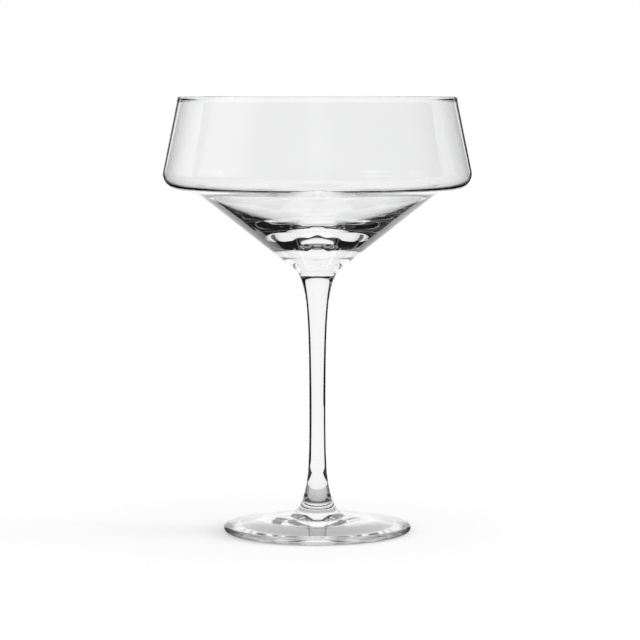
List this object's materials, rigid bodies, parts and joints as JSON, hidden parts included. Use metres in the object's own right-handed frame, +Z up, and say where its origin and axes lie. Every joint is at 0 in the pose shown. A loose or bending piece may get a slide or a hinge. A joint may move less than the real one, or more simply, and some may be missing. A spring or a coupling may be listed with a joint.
{
  "type": "champagne coupe",
  "caption": "Stemmed crystal coupe for sparkling wine: wide bowl with an inward-leaning wall and a thick conical base, slim drawn stem, shallow round foot.",
  "frame": {"origin": "centre of the foot, on the surface that the glass stands on", "axes": "+Z up along the axis of the glass, from the foot to the rim; the glass is round, so +X and +Y are free"},
  "size_m": [0.1202, 0.1202, 0.17],
  "materials": {
    "bowl_crystal": "fire-polished clear",
    "stem_crystal": "fire-polished clear",
    "foot_crystal": "fire-polished clear"
  },
  "bodies": {
    "root": {"bowl": "bowl_crystal", "stem": "stem_crystal", "foot": "foot_crystal"}
  },
  "joints": []
}
